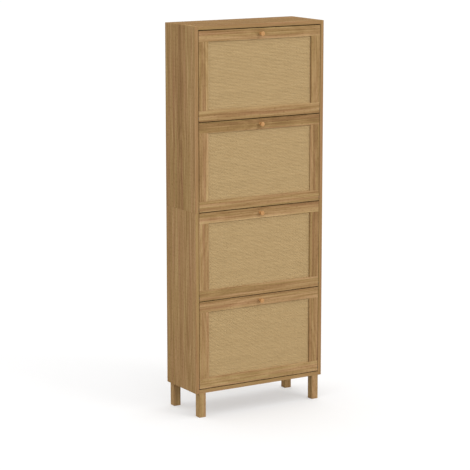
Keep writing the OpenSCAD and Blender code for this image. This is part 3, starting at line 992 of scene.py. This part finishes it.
@dataclass
class WovenPanel:
    """A door's panel: cane woven over and under on a thin fibreboard.

    Attributes:
        door: The door's number, from the top.
        weft: The wide strands that run level and show as ribs.
        warp: The narrow upright strands.
        play_mm: Room between the weave and the groove that holds it.
        back_edge_mm: Radius of the edges of the board behind the weave.
    """

    door: int
    weft: Strands = Strands("weft", Axis.X, 5.5, 5.35, 0.7, 0.35, True, 0.01)
    warp: Strands = Strands("warp", Axis.Z, 7.0, 2.8, 0.7, 0.35, False, 0.02)
    play_mm: float = 0.05
    back_edge_mm: float = 0.3

    def build(self, finishes: Finishes) -> None:
        """Makes the strands and the board behind them, which stand for the CAD panel.

        Args:
            finishes: The finishes.
        """
        body = f"door_{self.door}"
        node = f"{body}_woven_panel"
        low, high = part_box(node)
        half_t = (self.weft.lift_mm + self.weft.thickness_mm / 2) * MM
        middle_y = low.y + self.play_mm * MM + half_t
        for strands, others in ((self.weft, self.warp), (self.warp, self.weft)):
            crossings = others.count((high - low)[strands.run.value])
            mesh = strands.weave(low, high, middle_y, crossings)
            piece = new_piece(f"{body}_cane_{strands.name}", mesh, body, finishes.cane)
            if strands is self.weft:
                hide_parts(node)
        self._back(body, low, high, middle_y + half_t, finishes.backing)

    def _back(self, body: str, low: Vector, high: Vector, front_y: float, finish: Material) -> None:
        """Makes the board that the cane is stretched on.

        Args:
            body: The CAD body that carries it.
            low: The panel's lowest corner.
            high: The panel's highest corner.
            front_y: Where the weave ends.
            finish: The board's finish.
        """
        corner = Vector((low.x, front_y, low.z))
        shape = bmesh.new()
        made = bmesh.ops.create_cube(shape, size=1)
        bmesh.ops.translate(shape, verts=made["verts"], vec=(0.5, 0.5, 0.5))
        bmesh.ops.scale(shape, verts=made["verts"], vec=high - corner)
        bmesh.ops.translate(shape, verts=made["verts"], vec=corner)
        radius = self.back_edge_mm * MM
        bmesh.ops.bevel(shape, geom=shape.edges[:], offset=radius, segments=2, profile=0.5, affect="EDGES")
        mesh = bpy.data.meshes.new("panel_backing")
        shape.to_mesh(mesh)
        shape.free()
        new_piece(f"{body}_panel_backing", mesh, body, finish)


# ---------- Doors ----------


@dataclass
class TurnedKnob:
    """A small round knob that flares from a slim neck to a flat face with a softened rim.

    Attributes:
        door: The door's number, from the top.
        neck_mm: The neck's diameter.
        neck_high_mm: The neck's height, where the flare starts.
        foot_mm: How far the foot spreads beyond the neck, and its height.
        rim_mm: The rim's height, from the flare to the face.
        round_mm: Radius of the rim's edge.
        dome_mm: How far the face's middle stands proud of its rim.
        turns: How many faces go round the knob.
    """

    door: int
    neck_mm: float = 10
    neck_high_mm: float = 4
    foot_mm: tuple[float, float] = (1, 1.5)
    rim_mm: float = 3.5
    round_mm: float = 1.5
    dome_mm: float = 0.3
    turns: int = 64

    def build(self, finish: Material) -> bpy.types.Object:
        """Turns the knob's outline round its axis.

        Args:
            finish: The knob's wood.

        Returns:
            The knob.
        """
        body = f"door_{self.door}"
        node = f"{body}_knob"
        low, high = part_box(node)
        radius, out = (high.x - low.x) / 2, high.y - low.y
        middle = Vector(((low.x + high.x) / 2, high.y, (low.z + high.z) / 2))
        shape = bmesh.new()
        outline = [shape.verts.new(middle + Vector((r, -y, 0))) for r, y in self._outline(radius, out)]
        edges = [shape.edges.new(pair) for pair in zip(outline, outline[1:])]
        bmesh.ops.spin(
            shape, geom=outline + edges, cent=middle, axis=(0, 1, 0), angle=math.tau, steps=self.turns
        )
        bmesh.ops.remove_doubles(shape, verts=shape.verts, dist=WELD)
        bmesh.ops.recalc_face_normals(shape, faces=shape.faces)
        mesh = bpy.data.meshes.new(node)
        shape.to_mesh(mesh)
        shape.free()
        mesh.shade_smooth()
        piece = new_piece(f"{body}_turned_knob", mesh, body, finish)
        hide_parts(node)
        return piece

    def _outline(self, radius: float, out: float) -> list[tuple[float, float]]:
        """Draws the knob from the middle of its foot to the middle of its face.

        Args:
            radius: The head's radius.
            out: The knob's height.

        Returns:
            Points as radius and height.
        """
        neck, neck_high, rim = self.neck_mm / 2 * MM, self.neck_high_mm * MM, self.rim_mm * MM
        edge, dome = self.round_mm * MM, self.dome_mm * MM
        spread, foot_high = (length * MM for length in self.foot_mm)
        quarter = math.pi / 2
        # The foot curves in to the neck.
        points = [(0.0, 0.0)]
        points += [
            (neck + spread * (1 - math.sin(a)), foot_high * (1 - math.cos(a)))
            for a in np.linspace(0, quarter, 6)
        ]
        # The flare starts straight along the neck and opens out to the rim.
        rise = out - rim - neck_high
        points += [
            (neck + (radius - neck) * t * t * (2 - t), neck_high + rise * t) for t in np.linspace(0, 1, 12)
        ]
        top = out - dome
        points += [
            (radius - edge + edge * math.cos(a), top - edge + edge * math.sin(a))
            for a in np.linspace(0, quarter, 7)
        ]
        face = radius - edge
        points += [(face * (1 - t), top + dome * (1 - (1 - t) ** 2)) for t in np.linspace(0.15, 1, 6)]
        return points


@dataclass
class Door:
    """A tip-out door with its frame, woven panel, knob and rack.

    Attributes:
        number: The door's number, from the top.
        top: Tones of the top rail, from its lower edge up.
        bottom: Tones of the bottom rail, from its lower edge up.
        left: Tones of the left stile, from its outer edge in.
        right: Tones of the right stile, from its inner edge out.
    """

    number: int
    top: tuple[Tone, ...]
    bottom: tuple[Tone, ...]
    left: tuple[Tone, ...]
    right: tuple[Tone, ...]

    def build(self, finishes: Finishes) -> None:
        """Makes all that tips with the door.

        Args:
            finishes: The finishes.
        """
        body = f"door_{self.number}"
        frame_boards = (
            OakBoard(f"{body}_top_rail", body, Axis.X, self.top),
            OakBoard(f"{body}_bottom_rail", body, Axis.X, self.bottom),
            OakBoard(f"{body}_left_stile", body, Axis.Z, self.left),
            OakBoard(f"{body}_right_stile", body, Axis.Z, self.right),
        )
        for board in frame_boards:
            board.build(finishes.oak)
        WovenPanel(self.number).build(finishes)
        TurnedKnob(self.number).build(finishes.beech)
        rack = (
            (f"{body}_rack_shelves", 1.0, finishes.melamine, Slot.SHELF),
            (f"{body}_left_rack_plate", 0.4, finishes.plastic, Slot.PLASTIC),
            (f"{body}_right_rack_plate", 0.4, finishes.plastic, Slot.PLASTIC),
        )
        for node, edge_mm, finish, slot in rack:
            rounded_piece(node, body, edge_mm, finish)
        dress(f"{body}_pins_and_screws", finishes.zinc)


# From the top door to the bottom one. The tones are the print's bands, and the bottom door's are also raised
# as painted light, as the lamps light it a little less.
DOORS = (
    Door(
        1,
        top=(Tone.PALE, Tone.LIGHT, Tone.DEEP),
        bottom=(Tone.PLAIN, Tone.PLAIN, Tone.PALE),
        left=(Tone.DEEP, Tone.LIGHT, Tone.PALE),
        right=(Tone.DEEP, Tone.LIGHT, Tone.LIGHT),
    ),
    Door(
        2,
        top=(Tone.LIGHT, Tone.DEEP, Tone.DEEP),
        bottom=(Tone.LIGHT, Tone.LIGHT, Tone.LIGHT),
        left=(Tone.DEEP, Tone.PLAIN, Tone.PALEST),
        right=(Tone.PALE, Tone.DEEP, Tone.DEEP),
    ),
    Door(
        3,
        top=(Tone.PALEST, Tone.LIGHT, Tone.DEEP),
        bottom=(Tone.PLAIN, Tone.PLAIN, Tone.LIGHT),
        left=(Tone.PALEST, Tone.PLAIN, Tone.PLAIN),
        right=(Tone.PLAIN, Tone.DEEP, Tone.LIGHT),
    ),
    Door(
        4,
        top=(Tone.LIGHT, Tone.PALE, Tone.LIGHT),
        bottom=(Tone.PALE, Tone.LIGHT, Tone.PALE),
        left=(Tone.LIGHT, Tone.LIGHT, Tone.LIGHT),
        right=(Tone.DEEP, Tone.PLAIN, Tone.PLAIN),
    ),
)


# ---------- Studio ----------


@dataclass
class Studio:
    """Pale floor, white surroundings, a soft lamp and the camera.

    Attributes:
        ambient: Strength of the even light from all round.
        floor_hex: sRGB hex colour of the floor, as it lights the cabinet.
        floor_share: The part of the floor's brightness, as the camera sees it, that shadows take away.
        floor_white: The unshaded floor's brightness, as the camera sees it, before the lamp adds to it.
        floor_half: Half the floor's width.
        key_place: Where the softbox hangs.
        key_width: Its width.
        key_power: Its power in watts.
        lens_mm: The camera's focal length.
        camera_place: Where the camera stands.
        camera_down: How far it looks down, in degrees.
        camera_right: How far it looks to the right of straight back, in degrees.
    """

    ambient: float = 1.03
    floor_hex: str = "#B6B6B4"
    floor_share: float = 0.65
    floor_white: float = 1.03
    floor_half: float = 30.0
    key_place: tuple[float, float, float] = (10.0, -21.4, 10.4)
    key_width: float = 10.0
    key_power: float = 1320
    lens_mm: float = 150.7
    camera_place: tuple[float, float, float] = (-4.129, -6.6965, 2.206)
    camera_down: float = 10.82
    camera_right: float = 31.33

    def build(self) -> None:
        """Makes the floor, the lights and the camera."""
        self._floor()
        self._surroundings()
        self._softbox("key_softbox", Vector(self.key_place), self.key_width, self.key_power)
        self._camera()
        bpy.context.scene.view_settings.view_transform = "Standard"

    def _in_view(self, tree: Tree) -> Socket:
        """Tells the rays that show the studio from those that light the cabinet.

        Args:
            tree: The node tree of the floor or of the world.

        Returns:
            1 for the camera's rays and for mirrored and let through ones, and 0 for the rest.
        """
        path = add_node(tree, "ShaderNodeLightPath")
        seen = path.outputs["Is Camera Ray"]
        for ray in ("Is Glossy Ray", "Is Transmission Ray"):
            also = path.outputs[ray]
            seen = add_node(tree, "ShaderNodeMath", {0: seen, 1: also}, operation="MAXIMUM").outputs[0]
        return seen

    def _floor(self) -> None:
        """Makes the floor, which the camera sees as white where nothing shades it."""
        material, tree = new_material("pale_studio_floor")
        seen = self._in_view(tree)
        painted = add_node(tree, "ShaderNodeBsdfDiffuse", {"Color": linear(self.floor_hex)}).outputs[0]
        grey = (self.floor_share, self.floor_share, self.floor_share, 1)
        shaded = add_node(tree, "ShaderNodeBsdfDiffuse", {"Color": grey}).outputs[0]
        missing = self.floor_white - self.ambient * self.floor_share
        lifted = add_node(tree, "ShaderNodeEmission", {"Strength": missing}).outputs[0]
        bright = add_node(tree, "ShaderNodeAddShader", {0: shaded, 1: lifted}).outputs[0]
        mixed = add_node(tree, "ShaderNodeMixShader", {0: seen, 1: painted, 2: bright}).outputs[0]
        add_node(tree, "ShaderNodeOutputMaterial", {"Surface": mixed})
        half = self.floor_half
        mesh = bpy.data.meshes.new("floor")
        corners = [(-half, -half, 0), (half, -half, 0), (half, half, 0), (-half, half, 0)]
        mesh.from_pydata(corners, [], [(0, 1, 2, 3)])
        mesh.materials.append(material)
        floor = bpy.data.objects.new("floor", mesh)
        bpy.context.scene.collection.objects.link(floor)

    def _surroundings(self) -> None:
        """Surrounds the cabinet with even light, which the camera and reflections see as white."""
        world = bpy.data.worlds.new("white_studio")
        world.use_nodes = True
        tree = world.node_tree
        tree.nodes.clear()
        seen = self._in_view(tree)
        white = (1, 1, 1, 1)
        lit = add_node(tree, "ShaderNodeBackground", {"Color": white, "Strength": self.ambient}).outputs[0]
        shown = add_node(tree, "ShaderNodeBackground", {"Color": white, "Strength": 1.0}).outputs[0]
        mixed = add_node(tree, "ShaderNodeMixShader", {0: seen, 1: lit, 2: shown}).outputs[0]
        add_node(tree, "ShaderNodeOutputWorld", {"Surface": mixed})
        bpy.context.scene.world = world

    def _softbox(self, name: str, place: Vector, width: float, power: float) -> None:
        """Hangs a square softbox that faces the middle of the cabinet.

        Args:
            name: The lamp's name.
            place: Where it hangs.
            width: Its width.
            power: Its power in watts.
        """
        lamp = bpy.data.lights.new(name, "AREA")
        lamp.size = width
        lamp.energy = power
        box = bpy.data.objects.new(name, lamp)
        low, high = CAD_BOX
        box.location = place
        box.rotation_euler = (place - (low + high) / 2).to_track_quat("Z", "Y").to_euler()
        bpy.context.scene.collection.objects.link(box)

    def _camera(self) -> None:
        """Sets up a long lens to the left of the cabinet and a little above it."""
        lens = bpy.data.cameras.new("camera")
        lens.sensor_width = 36
        lens.lens = self.lens_mm
        lens.clip_end = 100
        camera = bpy.data.objects.new("camera", lens)
        camera.location = self.camera_place
        down, right = math.radians(self.camera_down), math.radians(self.camera_right)
        camera.rotation_euler = (math.pi / 2 - down, 0, -right)
        bpy.context.scene.collection.objects.link(camera)
        bpy.context.scene.camera = camera


def main() -> None:
    """Builds the cabinet's looks and the studio."""
    logging.basicConfig(level=logging.INFO, format="%(name)s: %(message)s")
    finishes = Finishes()
    Carcass().build(finishes)
    for door in DOORS:
        door.build(finishes)
    Studio().build()


if __name__ == "__main__":
    main()
